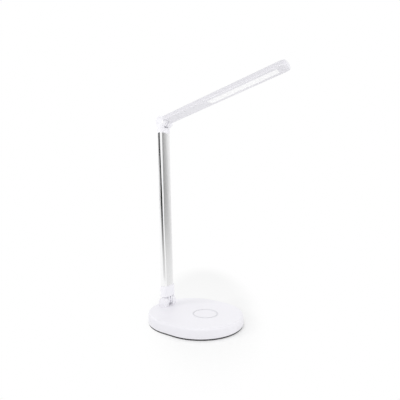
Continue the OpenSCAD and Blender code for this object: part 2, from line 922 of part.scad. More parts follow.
// Knuckle, collar and spigot in one casting
module arm_foot() {
    spigot_top = collar_top - tube_seat + spigot_l;
    color("white")
        at_arm()
            difference() {
                union() {
                    bar_y(lower_knuckle_r, -tongue_w / 2, tongue_w / 2);
                    block([-lower_knuckle_r, -tongue_w / 2, 0],
                          [lower_knuckle_r, tongue_w / 2, collar_under + cut]);
                    difference() {
                        oblong_body(arm_outline, -collar_wall, collar_under, collar_top,
                                    collar_edge);
                        oblong_body(arm_outline, -tube_play, collar_top - tube_seat,
                                    collar_top + cut);
                    }
                    oblong_body(arm_outline, arm_wall + tube_play, collar_under, spigot_top);
                }
                bar_y(pin_r + pin_play, -tongue_w, tongue_w);
                foot_lead_way(spigot_top);
                at_foot_screw() countersunk_hole(screw_d, screw_head_d, foot_screw_l);
            }
}

// Way of the leads: round the knuckle's front, up its face and through the middle of the foot
module foot_lead_way(top) {
    overlap = 0.3;
    intersection() {
        lead_slot(lower_knuckle_r);
        block([0, -tongue_w, -2 * lower_knuckle_r], [2 * lower_knuckle_r, tongue_w, 0]);
    }
    translate([lower_knuckle_r - lead_slot_d, 0, 0])
        rotate([90, 0, 90])
            linear_extrude(lead_slot_d + cut) {
                translate([-lead_slot_w / 2, -overlap]) square([lead_slot_w, lead_turn + overlap]);
                translate([0, lead_turn]) circle(lead_slot_w / 2);
            }
    translate([0, 0, lead_turn]) cylinder(r = lead_bore_r, h = top);
    translate([0, 0, lead_turn]) rotate([0, 90, 0]) cylinder(r = lead_bore_r, h = lower_knuckle_r);
}

// The foot's screw enters from the back, through collar and tube
module at_foot_screw() {
    translate([-collar_half_depth, 0, collar_top - tube_seat / 2])
        rotate([0, -90, 0])
            children();
}

// The top's screw enters from the back, through the tube
module at_top_screw() {
    translate([-arm_depth / 2, 0, tube_end - spigot_l / 2])
        rotate([0, -90, 0])
            children();
}

module arm_tube() {
    color("silver")
        at_arm()
            difference() {
                oblong_body(arm_outline, 0, collar_top - tube_seat, tube_end);
                oblong_body(arm_outline, arm_wall, collar_top - tube_seat - cut, tube_end + cut);
                at_foot_screw() countersunk_hole(screw_d, screw_head_d, foot_screw_l);
                at_top_screw() countersunk_hole(screw_d, screw_head_d, top_screw_l);
            }
}

// Lead that runs up the arm between the two hinges
module arm_lead() {
    from = collar_under + cut;
    color("white")
        at_arm()
            translate([0, 0, from])
                cylinder(r = lead_r, h = arm_length + crotch - cut - from);
}

module arm_screws() {
    color("silver")
        at_arm() {
            at_foot_screw() countersunk(screw_d, screw_head_d, foot_screw_l - tip_gap);
            at_top_screw() countersunk(screw_d, screw_head_d, top_screw_l - tip_gap);
        }
}

// Side view of the upper fork, from the tube's end to the ears
module fork_side() {
    back = -arm_depth / 2 - top_axis_forward;
    front = arm_depth / 2 - top_axis_forward;
    inner_share = 0.5;
    outer_share = 0.9;
    polygon([
        [back, -tube_end_below], [front, -tube_end_below],
        [front, crotch], [front, -sqrt(upper_ear_r^2 - front^2)],
        [upper_ear_r * inner_share, 0], [-upper_ear_r * outer_share, 0], [back, crotch]
    ]);
}

// Spigot, collar and two ears in one casting
module arm_top() {
    color("white") {
        at_upper()
            difference() {
                union() {
                    ear_drum(upper_ear_r, upper_out);
                    intersection() {
                        rotate([90, 0, 0])
                            linear_extrude(2 * upper_out, center = true)
                                fork_side();
                        translate([-top_axis_forward, 0, 0])
                            oblong_body(arm_outline, 0, -tube_end_below, cut);
                    }
                    translate([-top_axis_forward, 0, 0])
                        oblong_body(arm_outline, arm_wall + tube_play,
                                 -tube_end_below - spigot_l, -tube_end_below + cut);
                }
                block([-2 * upper_ear_r, -fork_half, crotch],
                      [2 * upper_ear_r, fork_half, 2 * upper_ear_r]);
                ear_cuts(upper_out);
                translate([-top_axis_forward, 0, -tube_end_below - spigot_l - cut])
                    cylinder(r = lead_bore_r, h = 2 * spigot_l + tube_end_below);
                translate([-top_axis_forward, 0, -arm_length])
                    at_top_screw() countersunk_hole(screw_d, screw_head_d, top_screw_l);
            }
    }
}

// ---------- Upper hinge ----------

module upper_pin() {
    at_upper() hinge_pin();
}

module upper_disc_springs() {
    at_upper() disc_springs();
}

module upper_nut() {
    at_upper() hinge_nut();
}

module upper_washers() {
    at_upper() friction_washers(upper_ear_r - washer_inset);
}

module upper_hinge_caps() {
    at_upper() hinge_caps(upper_out);
}

// ---------- Light bar ----------

// Bar with a rounded tip and rounded upper edges, drawn in by inset, from start to the tip
module bar_body(start, inset, low, high, edge) {
    half = head_width / 2 - inset;
    corner = head_corner - inset;
    tip = head_length - inset;
    translate([start, 0, 0])
        rotate([90, 0, 90])
            linear_extrude(tip - corner - start)
                for (side = [0, 1])
                    mirror([side, 0])
                        rim_section(0, half, low, high, edge);
    for (side = [0, 1])
        mirror([0, side, 0])
            translate([tip - corner, half - corner, 0])
                rotate_extrude(angle = 90)
                    rim_section(0, corner, low, high, edge);
    translate([tip - corner, -half + corner, 0])
        rotate([90, 0, 0])
            mirror([0, 0, 1])
                linear_extrude(2 * (half - corner))
                    rim_section(0, corner, low, high, edge);
}

module head_knuckle() {
    color("white")
        at_head()
            difference() {
                union() {
                    bar_y(upper_ear_r, -tongue_w / 2, tongue_w / 2);
                    block([0, -tongue_w / 2, seam + neck_play],
                          [plate_start + cut, tongue_w / 2, plate_top]);
                    translate([plate_start + knuckle_plate.x / 2, 0, plate_under])
                        rounded_plate(knuckle_plate, plate_corner);
                }
                bar_y(pin_r + pin_play, -tongue_w, tongue_w);
                intersection() {
                    lead_slot(upper_ear_r);
                    block([-2 * upper_ear_r, -tongue_w, -2 * upper_ear_r],
                          [2 * upper_ear_r, tongue_w, seam]);
                }
                for (spot = plate_screw_spots)
                    translate([spot.x, spot.y, plate_under - cut])
                        cylinder(d = small_screw_d + 2 * screw_play, h = knuckle_plate.z + 2 * cut);
            }
}

module knuckle_screws() {
    color("silver")
        at_head()
            for (spot = plate_screw_spots)
                translate([spot.x, spot.y, plate_under])
                    mirror([0, 0, 1])
                        pan_head(small_screw_d, small_head_d, small_head_h,
                                 screw_roof - tip_gap - plate_under);
}

module head_shell() {
    overlap = head_wall / 2;
    neck_half = tongue_w / 2 + neck_play;
    color("white")
        at_head()
            difference() {
                union() {
                    difference() {
                        bar_body(0, 0, seam, bar_top, head_edge);
                        bar_body(root_inner, head_wall, seam - cut, bar_ceiling,
                                 head_edge - head_wall);
                    }
                    for (spot = plate_screw_spots)
                        translate([spot.x, spot.y, plate_top])
                            cylinder(d = small_boss_d, h = bar_ceiling + overlap - plate_top);
                    for (side = [-1, 1])
                        translate([frame_screw_x, side * frame_screw_y, seam])
                            cylinder(d = small_boss_d, h = bar_ceiling + overlap - seam);
                }
                bar_y(root_r, -head_width, head_width);
                block([0, -neck_half, seam - cut],
                      [root_inner + cut, neck_half, plate_top + neck_play]);
                for (spot = plate_screw_spots)
                    translate([spot.x, spot.y, plate_top - cut])
                        cylinder(d = small_screw_d + 2 * screw_play, h = screw_roof - plate_top + cut);
                for (side = [-1, 1])
                    translate([frame_screw_x, side * frame_screw_y, seam - cut])
                        cylinder(d = small_screw_d + 2 * screw_play, h = screw_roof - seam + cut);
            }
}

module heat_spreader() {
    length = spreader_end - spreader_start;
    side_room = 1.5;
    color("silver")
        at_head()
            translate([spreader_start + length / 2, 0, spreader_under])
                rounded_plate([length, head_width - 2 * (head_wall + side_room), spreader_t],
                              board_corner);
}

module led_board() {
    end_room = 2;
    side_room = 2.5;
    length = spreader_end - spreader_start - 2 * end_room;
    color("whitesmoke")
        at_head()
            translate([spreader_start + end_room + length / 2, 0, led_board_under])
                rounded_plate([length, head_width - 2 * (head_wall + side_room), led_board_t],
                              board_corner);
}

module leds() {
    pitch = window_l / led_count;
    color("gold")
        at_head()
            for (i = [0 : led_count - 1], side = [-1, 1])
                translate([window_start + pitch * (i + 0.5), side * led_row_gap / 2,
                           led_board_under - led_size.z / 2])
                    cube(led_size, center = true);
}

module diffuser() {
    face = bar_under + diffuser_sunk;
    color("ivory")
        at_head() {
            translate([window_mid, 0, face])
                rounded_plate([window_l - 2 * diffuser_play, window_w - 2 * diffuser_play,
                               seam - face + flange_t], window_corner);
            translate([window_mid, 0, seam])
                rounded_plate([window_l + 2 * flange_w, window_w + 2 * flange_w, flange_t],
                              window_corner + flange_w);
        }
}

module head_frame() {
    lip_inset = head_wall + lip_play;
    color("white")
        at_head()
            difference() {
                union() {
                    mirror([0, 0, 1])
                        bar_body(0, 0, -seam, -bar_under, head_lower_edge);
                    difference() {
                        bar_body(root_inner + lip_start, lip_inset, seam, seam + lip_h, 0);
                        bar_body(root_inner, lip_inset + lip_t, seam - cut, seam + lip_h + cut, 0);
                    }
                }
                bar_y(root_r, -head_width, head_width);
                translate([window_mid, 0, bar_under - cut])
                    rounded_plate([window_l, window_w, frame_t + 2 * cut], window_corner);
                for (side = [-1, 1]) {
                    translate([frame_screw_x, side * frame_screw_y, bar_under])
                        mirror([0, 0, 1])
                            countersunk_hole(small_screw_d, small_head_d, frame_t + cut);
                    translate([frame_screw_x, side * frame_screw_y, seam])
                        cylinder(d = small_boss_d + 2 * boss_play, h = 2 * cut);
                }
            }
}

module frame_screws() {
    color("silver")
        at_head()
            for (side = [-1, 1])
                translate([frame_screw_x, side * frame_screw_y, bar_under])
                    mirror([0, 0, 1])
                        countersunk(small_screw_d, small_head_d, screw_roof - tip_room - bar_under);
}

// ---------- Every piece, one line each ----------

base_cover();
floor_plate();
antislip_pad();
ballast_plate();
ballast_screws();
cover_screws();
grip_ring();
charging_coil();
ferrite_sheet();
touch_board();
main_board();
board_components();
board_screws();
power_inlet();
inlet_board();
hinge_block();
hinge_block_bolts();
lower_pin();
lower_disc_springs();
lower_nut();
lower_washers();
lower_hinge_caps();
arm_foot();
arm_tube();
arm_lead();
arm_screws();
arm_top();
upper_pin();
upper_disc_springs();
upper_nut();
upper_washers();
upper_hinge_caps();
head_knuckle();
knuckle_screws();
head_shell();
heat_spreader();
led_board();
leds();
diffuser();
head_frame();
frame_screws();
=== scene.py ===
import logging
import math
from dataclasses import dataclass
from enum import Enum

import bmesh
import bpy
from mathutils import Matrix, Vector


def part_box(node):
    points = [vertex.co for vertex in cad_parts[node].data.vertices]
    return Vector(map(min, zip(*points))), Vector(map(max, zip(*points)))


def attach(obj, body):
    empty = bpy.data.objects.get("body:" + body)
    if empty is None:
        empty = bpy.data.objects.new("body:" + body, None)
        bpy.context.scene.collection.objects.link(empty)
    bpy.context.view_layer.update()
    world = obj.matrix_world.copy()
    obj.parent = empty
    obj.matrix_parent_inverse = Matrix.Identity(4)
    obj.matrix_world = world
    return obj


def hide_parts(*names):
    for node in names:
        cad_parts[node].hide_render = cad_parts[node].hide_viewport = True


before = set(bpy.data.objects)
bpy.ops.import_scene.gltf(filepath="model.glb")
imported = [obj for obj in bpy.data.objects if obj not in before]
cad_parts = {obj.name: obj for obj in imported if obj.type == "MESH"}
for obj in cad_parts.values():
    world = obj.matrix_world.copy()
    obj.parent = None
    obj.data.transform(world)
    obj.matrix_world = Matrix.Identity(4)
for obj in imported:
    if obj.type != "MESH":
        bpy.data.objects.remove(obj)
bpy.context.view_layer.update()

log = logging.getLogger("desk_lamp")

Colour = tuple[float, float, float]
Place = tuple[float, float, float]
Outline = list[tuple[float, float]]
Inputs = dict[str | int, object]

MM = 0.001
PURE_WHITE = (1.0, 1.0, 1.0)
BLACK = (0.0, 0.0, 0.0)


class Grain(Enum):
    """How the marks of a finish run, as what each coordinate is multiplied by."""

    NONE = (1.0, 1.0, 1.0)
    ALONG_X = (0.04, 1.0, 1.0)
    ALONG_Z = (1.0, 1.0, 0.02)


def opaque(colour: Colour) -> tuple[float, float, float, float]:
    """The colour as a socket takes it."""
    return (*colour, 1.0)


class Wire:
    """A shader socket that can be used in arithmetic."""

    def __init__(self, sheet: "Sheet", socket: bpy.types.NodeSocket) -> None:
        """Keeps the socket and the sheet it belongs to."""
        self.sheet = sheet
        self.socket = socket

    def _maths(self, operation: str, first: "Wire | float", second: "Wire | float") -> "Wire":
        """Joins two values with a Math node."""
        return self.sheet.wire("ShaderNodeMath", {0: first, 1: second}, operation=operation)

    def __add__(self, other: "Wire | float") -> "Wire":
        """This plus another value."""
        return self._maths("ADD", self, other)

    def __radd__(self, other: "Wire | float") -> "Wire":
        """Another value plus this."""
        return self._maths("ADD", other, self)

    def __sub__(self, other: "Wire | float") -> "Wire":
        """This less another value."""
        return self._maths("SUBTRACT", self, other)

    def __rsub__(self, other: "Wire | float") -> "Wire":
        """Another value less this."""
        return self._maths("SUBTRACT", other, self)

    def __mul__(self, other: "Wire | float") -> "Wire":
        """This times another value."""
        return self._maths("MULTIPLY", self, other)

    def __rmul__(self, other: "Wire | float") -> "Wire":
        """Another value times this."""
        return self._maths("MULTIPLY", other, self)

    def above(self, limit: float) -> "Wire":
        """One where this is over the limit, else nothing."""
        return self._maths("GREATER_THAN", self, limit)

    def sine(self) -> "Wire":
        """The sine of this."""
        return self._maths("SINE", self, 0.0)


class Sheet:
    """The node tree of a material or a world."""

    def __init__(self, owner: bpy.types.Material | bpy.types.World) -> None:
        """Empties the owner's node tree.

        Args:
            owner: The material or world whose nodes are made here.
        """
        self.owner = owner
        owner.use_nodes = True
        self.tree = owner.node_tree
        self.tree.nodes.clear()

    @classmethod
    def named(cls, name: str) -> "Sheet":
        """The sheet of a new material."""
        return cls(bpy.data.materials.new(name))

    def node(self, kind: str, inputs: Inputs | None = None, **settings: object) -> bpy.types.Node:
        """Makes any node.

        Args:
            kind: The node's type.
            inputs: What each input socket takes, by name or number: a wire or a fixed value.
            **settings: Attributes of the node.

        Returns:
            The new node.
        """
        fresh = self.tree.nodes.new(kind)
        for key, value in settings.items():
            setattr(fresh, key, value)
        for key, value in (inputs or {}).items():
            if isinstance(value, Wire):
                self.tree.links.new(value.socket, fresh.inputs[key])
            else:
                fresh.inputs[key].default_value = value
        return fresh

    def wire(self, kind: str, inputs: Inputs | None = None, output: str | int = 0,
             **settings: object) -> Wire:
        """Makes a node as `node` does and returns one of its outputs as a wire."""
        return Wire(self, self.node(kind, inputs, **settings).outputs[output])

    def place(self, grain: Grain = Grain.NONE) -> Wire:
        """The place on the piece, in metres, stretched along the grain."""
        spot = self.wire("ShaderNodeTexCoord", output="Object")
        return self.wire("ShaderNodeVectorMath", {0: spot, 1: grain.value}, operation="MULTIPLY")

    def noise(self, scale: float, detail: float = 2.0, grain: Grain = Grain.NONE) -> Wire:
        """Cloudy values from nothing to one.

        Args:
            scale: Clouds per metre.
            detail: How many finer layers are added.
            grain: Which way the clouds are drawn out.

        Returns:
            The value at each place.
        """
        inputs = {"Vector": self.place(grain), "Scale": scale, "Detail": detail}
        return self.wire("ShaderNodeTexNoise", inputs, output="Fac")

    def mix(self, share: Wire, low: Colour, high: Colour) -> Wire:
        """A colour between two others.

        Args:
            share: How much of the second colour is taken.
            low: The colour where the share is nothing.
            high: The colour where the share is one.

        Returns:
            The mixed colour.
        """
        # The node's colour sockets are the inputs 6 and 7 and the output 2.
        inputs = {"Factor": share, 6: opaque(low), 7: opaque(high)}
        return self.wire("ShaderNodeMix", inputs, output=2, data_type="RGBA")

    def bump(self, height: Wire, depth: float) -> Wire:
        """A surface raised by a height between nothing and one.

        Args:
            height: The height at each place.
            depth: What a height of one stands for, in metres.

        Returns:
            The bent normal.
        """
        inputs = {"Height": height, "Distance": depth}
        return self.wire("ShaderNodeBump", inputs, output="Normal")

    def ramp(self, value: Wire, start: float, end: float) -> Wire:
        """A share that grows from nothing to one between two values, with soft ends."""
        inputs = {"Value": value, "From Min": start, "From Max": end}
        return self.wire("ShaderNodeMapRange", inputs, output="Result",
                         interpolation_type="SMOOTHSTEP")

    def height(self) -> Wire:
        """The height of each place, in metres."""
        return self.wire("ShaderNodeSeparateXYZ", {0: self.place()}, output="Z")

    def length(self, vector: Wire) -> Wire:
        """The length of a vector."""
        return self.wire("ShaderNodeVectorMath", {0: vector}, output="Value", operation="LENGTH")

    def from_axis(self, middle: tuple[float, float]) -> Wire:
        """How far each place is from an upright axis, in metres.

        Args:
            middle: Where the axis stands.

        Returns:
            The distance.
        """
        centred = self.wire("ShaderNodeVectorMath", {0: self.place(), 1: (*middle, 0.0)},
                            operation="SUBTRACT")
        flat = self.wire("ShaderNodeVectorMath", {0: centred, 1: (1.0, 1.0, 0.0)},
                         operation="MULTIPLY")
        return self.length(flat)

    def oval(self, middle: Place, turn: float, half_size: Place) -> Wire:
        """How far each place is from the middle of an oval, where its edge is one.

        Args:
            middle: The oval's middle, in metres.
            turn: How far the oval is turned about the upright axis, in degrees.
            half_size: Its half length along each of its own axes, in metres.

        Returns:
            The distance as a share of the way to the edge.
        """
        inputs = {"Vector": self.place(), "Location": middle, "Scale": half_size,
                  "Rotation": (0.0, 0.0, math.radians(turn))}
        return self.length(self.wire("ShaderNodeMapping", inputs, vector_type="TEXTURE"))

    def seen(self) -> Wire:
        """Tells what the eye sees from what only lights the scene.

        Returns:
            One for what is seen, straight or through mirrors and glass, else nothing.
        """
        outputs = self.node("ShaderNodeLightPath").outputs
        straight, mirrored, through = (
            Wire(self, outputs[f"Is {kind} Ray"]) for kind in ("Camera", "Glossy", "Transmission")
        )
        return (straight + mirrored + through).above(0.5)

    def finish(self, inputs: Inputs) -> bpy.types.Material:
        """Closes the material with a Principled surface that takes these inputs."""
        self.close("ShaderNodeOutputMaterial", self.wire("ShaderNodeBsdfPrincipled", inputs))
        return self.owner

    def close(self, kind: str, surface: Wire) -> None:
        """Joins a surface to the output node of the given kind."""
        self.node(kind, {"Surface": surface})


@dataclass(frozen=True)
class Finish:
    """A named finish with one main colour.

    The scales of all its marks are counts per metre, and their depths are in metres.
    """

    name: str
    colour: Colour

    def made(self) -> bpy.types.Material:
        """The finish's material, which is made only the first time."""
        return bpy.data.materials.get(self.name) or self.material()

    def material(self) -> bpy.types.Material:
        """Makes the finish's material."""
        raise NotImplementedError

    def shade(self, share: float) -> Colour:
        """The main colour times a share."""
        return tuple(share * part for part in self.colour)


@dataclass(frozen=True)
class Plastic(Finish):
    """Moulded or painted plastic: a barely mottled colour and a fine pitted skin."""

    roughness: float = 0.36
    wear: float = 0.06
    wear_scale: float = 140.0
    darkest: float = 0.965
    cloud_scale: float = 18.0
    pit_scale: float = 2600.0
    pit_depth: float = 0.003 * MM
    refraction: float = 1.46

    def material(self) -> bpy.types.Material:
        """Makes the finish's material.

        Returns:
            The new material.
        """
        sheet = Sheet.named(self.name)
        cloud = sheet.noise(self.cloud_scale)
        pits = sheet.noise(self.pit_scale, detail=1.0)
        return sheet.finish({
            "Base Color": sheet.mix(cloud, self.shade(self.darkest), self.colour),
            "Roughness": self.roughness + self.wear * (sheet.noise(self.wear_scale) - 0.5),
            "Normal": sheet.bump(pits, self.pit_depth),
            "IOR": self.refraction,
        })


@dataclass(frozen=True)
class Metal(Finish):
    """Bare metal with drawn or turned marks along its grain."""

    roughness: float
    grain: Grain = Grain.NONE
    darkest: float = 0.9
    cloud_scale: float = 30.0
    mark_scale: float = 1500.0
    mark_depth: float = 0.004 * MM
    smoothest: float = 0.85
    roughening: float = 0.3

    def material(self) -> bpy.types.Material:
        """Makes the finish's material.

        Returns:
            The new material.
        """
        sheet = Sheet.named(self.name)
        marks = sheet.noise(self.mark_scale, detail=3.0, grain=self.grain)
        cloud = sheet.noise(self.cloud_scale)
        return sheet.finish({
            "Base Color": sheet.mix(cloud, self.shade(self.darkest), self.colour),
            "Metallic": 1.0,
            "Roughness": self.roughness * (self.smoothest + self.roughening * marks),
            "Normal": sheet.bump(marks, self.mark_depth),
        })


@dataclass(frozen=True)
class Rubber(Finish):
    """Soft moulded rubber with a dusty, rough skin."""

    roughness: float = 0.8
    roughening: float = 0.15
    dust: float = 0.35
    grit_scale: float = 900.0
    grit_depth: float = 0.05 * MM

    def material(self) -> bpy.types.Material:
        """Makes the finish's material.

        Returns:
            The new material.
        """
        sheet = Sheet.named(self.name)
        grit = sheet.noise(self.grit_scale, detail=3.0)
        return sheet.finish({
            "Base Color": sheet.mix(grit, self.colour, self.shade(1.0 + self.dust)),
            "Roughness": self.roughness + self.roughening * (grit - 0.5),
            "Normal": sheet.bump(grit, self.grit_depth),
        })


@dataclass(frozen=True)
class Opal(Finish):
    """Milky light-spreading plastic with a faint painted glow that brightens it."""

    painted_glow: float = 0.14
    painted_glow_tint: Colour = (1.0, 0.99, 0.97)
    darkest: float = 0.985
    cloud_scale: float = 40.0
    roughness: float = 0.5
    wear: float = 0.08
    wear_scale: float = 300.0
    pit_scale: float = 1800.0
    pit_depth: float = 0.01 * MM

    def material(self) -> bpy.types.Material:
        """Makes the finish's material.

        Returns:
            The new material.
        """
        sheet = Sheet.named(self.name)
        cloud = sheet.noise(self.cloud_scale)
        return sheet.finish({
            "Base Color": sheet.mix(cloud, self.shade(self.darkest), self.colour),
            "Roughness": self.roughness + self.wear * (sheet.noise(self.wear_scale) - 0.5),
            # The emission is painted light: a faint glow that brightens the milky plastic.
            "Emission Color": sheet.mix(cloud, self.painted_glow_tint, PURE_WHITE),
            "Emission Strength": self.painted_glow,
            "Normal": sheet.bump(sheet.noise(self.pit_scale), self.pit_depth),
        })


@dataclass(frozen=True)
class Laminate(Finish):
    """Circuit board: solder mask with raised, paler lines of copper under it."""

    line: Colour
    cell_scale: float = 260.0
    waves_per_cell: float = 40.0
    line_above: float = 0.55
    line_height: float = 0.03 * MM
    roughness: float = 0.35
    line_roughening: float = 0.1

    def material(self) -> bpy.types.Material:
        """Makes the finish's material.

        Returns:
            The new material.
        """
        sheet = Sheet.named(self.name)
        cells = sheet.wire("ShaderNodeTexVoronoi",
                           {"Vector": sheet.place(), "Scale": self.cell_scale},
                           output="Distance", feature="F1", distance="MANHATTAN")
        lines = (cells * self.waves_per_cell).sine().above(self.line_above)
        return sheet.finish({
            "Base Color": sheet.mix(lines, self.colour, self.line),
            "Roughness": self.roughness + self.line_roughening * lines,
            "Normal": sheet.bump(lines, self.line_height),
        })


@dataclass(frozen=True)
class Winding(Finish):
    """Copper wire wound flat round an upright axis, with painted shade in the gaps between its
    turns.
    """

    middle: tuple[float, float]
    pitch: float = 0.6 * MM
    turn_height: float = 0.2 * MM
    painted_gap_shade: float = 0.35
    metallic: float = 0.9
    roughness: float = 0.5
    turn_polish: float = 0.2

    def material(self) -> bpy.types.Material:
        """Makes the finish's material.

        Returns:
            The new material.
        """
        sheet = Sheet.named(self.name)
        phase = sheet.from_axis(self.middle) * (math.tau / self.pitch)
        turns = 0.5 + 0.5 * phase.sine()
        return sheet.finish({
            # The gaps take a darker copper: painted shade between the turns.
            "Base Color": sheet.mix(turns, self.shade(self.painted_gap_shade), self.colour),
            "Metallic": self.metallic,
            "Roughness": self.roughness - self.turn_polish * turns,
            "Normal": sheet.bump(turns, self.turn_height),
        })


WHITE = Plastic("white_plastic", (0.83, 0.822, 0.862))
SILVER_WHITE = Plastic("silver_white_paint", (0.755, 0.748, 0.787), roughness=0.32)
# Paler than the white plastic: painted light that lifts the shade in and round the hinges.
HINGE_WHITE_PAINTED_LIGHT = Plastic("hinge_white_painted_light", (0.9, 0.893, 0.93), roughness=0.4)
PALE = Plastic("pale_plastic", (0.55, 0.55, 0.57), roughness=0.5)
DARK = Plastic("dark_plastic", (0.03, 0.03, 0.033), roughness=0.45)
NYLON = Plastic("natural_nylon", (0.78, 0.775, 0.77), roughness=0.5)
LEAD = Plastic("lead_sheath", (0.6, 0.6, 0.6), roughness=0.55)
CHIP = Plastic("chip_plastic", (0.02, 0.02, 0.022), roughness=0.4)
PHOSPHOR = Plastic("led_phosphor", (0.9, 0.72, 0.25), roughness=0.4)
BOARD_WHITE = Plastic("white_board", (0.82, 0.82, 0.8), roughness=0.3)
STEEL = Metal("steel", (0.55, 0.55, 0.56), roughness=0.32)
SPRING = Metal("spring_steel", (0.32, 0.32, 0.34), roughness=0.38)
BALLAST = Metal("rolled_steel", (0.38, 0.38, 0.39), roughness=0.45, grain=Grain.ALONG_X)
BARE_ALUMINIUM = Metal("rolled_aluminium", (0.78, 0.78, 0.79), roughness=0.35,
                       grain=Grain.ALONG_X)
TUBE = Metal("bright_aluminium", (0.965, 0.965, 0.97), roughness=0.13, grain=Grain.ALONG_Z,
             darkest=0.985)
PAD = Rubber("pad_rubber", (0.035, 0.035, 0.037))
GRIP = Rubber("grip_rubber", (0.66, 0.66, 0.69), roughness=0.6, dust=0.06, grit_depth=0.01 * MM)
OPAL = Opal("opal_plastic", (0.86, 0.86, 0.87))
MASK = Laminate("solder_mask", (0.01, 0.13, 0.05), line=(0.02, 0.24, 0.1))
COPPER = (0.75, 0.35, 0.17)


def placed(name: str, data: bpy.types.ID) -> bpy.types.Object:
    """Adds an object to the scene.

    Args:
        name: The object's name.
        data: Its mesh, lamp or camera.

    Returns:
        The new object, at the origin.
    """
    thing = bpy.data.objects.new(name, data)
    bpy.context.scene.collection.objects.link(thing)
    return thing


def loose_parts(mesh: bpy.types.Mesh, near: float) -> list[list[Vector]]:
    """The corners of each separate part of a mesh.

    Args:
        mesh: The mesh, which stays as it is.
        near: The distance within which corners count as one, in metres.

    Returns:
        The corners of every part, in the mesh's order.
    """
    form = bmesh.new()
    form.from_mesh(mesh)
    bmesh.ops.remove_doubles(form, verts=form.verts, dist=near)
    parts: list[list[Vector]] = []
    known: set[bmesh.types.BMVert] = set()
    for first in form.verts:
        if first in known:
            continue
        known.add(first)
        part = [first]
        for corner in part:
            for edge in corner.link_edges:
                other = edge.other_vert(corner)
                if other not in known:
                    known.add(other)
                    part.append(other)
        parts.append([corner.co.copy() for corner in part])
    form.free()
    return parts


@dataclass(frozen=True)
class PlainScrew:
    """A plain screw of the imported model: its place and its sizes, in metres."""

    face: Vector
    outward: Vector
    length: float
    head_radius: float
    shank_radius: float

    @classmethod
    def measured(cls, corners: list[Vector], outward: Vector, near: float) -> "PlainScrew":
        """Measures a screw.

        Args:
            corners: The screw's corners.
            outward: The direction in which its head faces.
            near: How far along the screw the corners of one flat end may differ, in metres.

        Returns:
            The screw.
        """
        heights = [corner.dot(outward) for corner in corners]
        top, foot = max(heights), min(heights)
        rows = list(zip(corners, heights))
        face, head_radius = cls._end([corner for corner, height in rows if top - height < near])
        _, shank_radius = cls._end([corner for corner, height in rows if height - foot < near])
        return cls(face, outward, top - foot, head_radius, shank_radius)

    @staticmethod
    def _end(corners: list[Vector]) -> tuple[Vector, float]:
        """The middle and the radius of the ring of corners round a flat end."""
        middle = sum(corners, Vector()) / len(corners)
        return middle, max((corner - middle).length for corner in corners)

    def spot(self, across: float, up: float, depth: float) -> Vector:
        """The place that lies this far across the head's face, up it and under it."""
        level = Vector((0.0, 1.0, 0.0))
        return self.face + level * across + self.outward.cross(level) * up - self.outward * depth


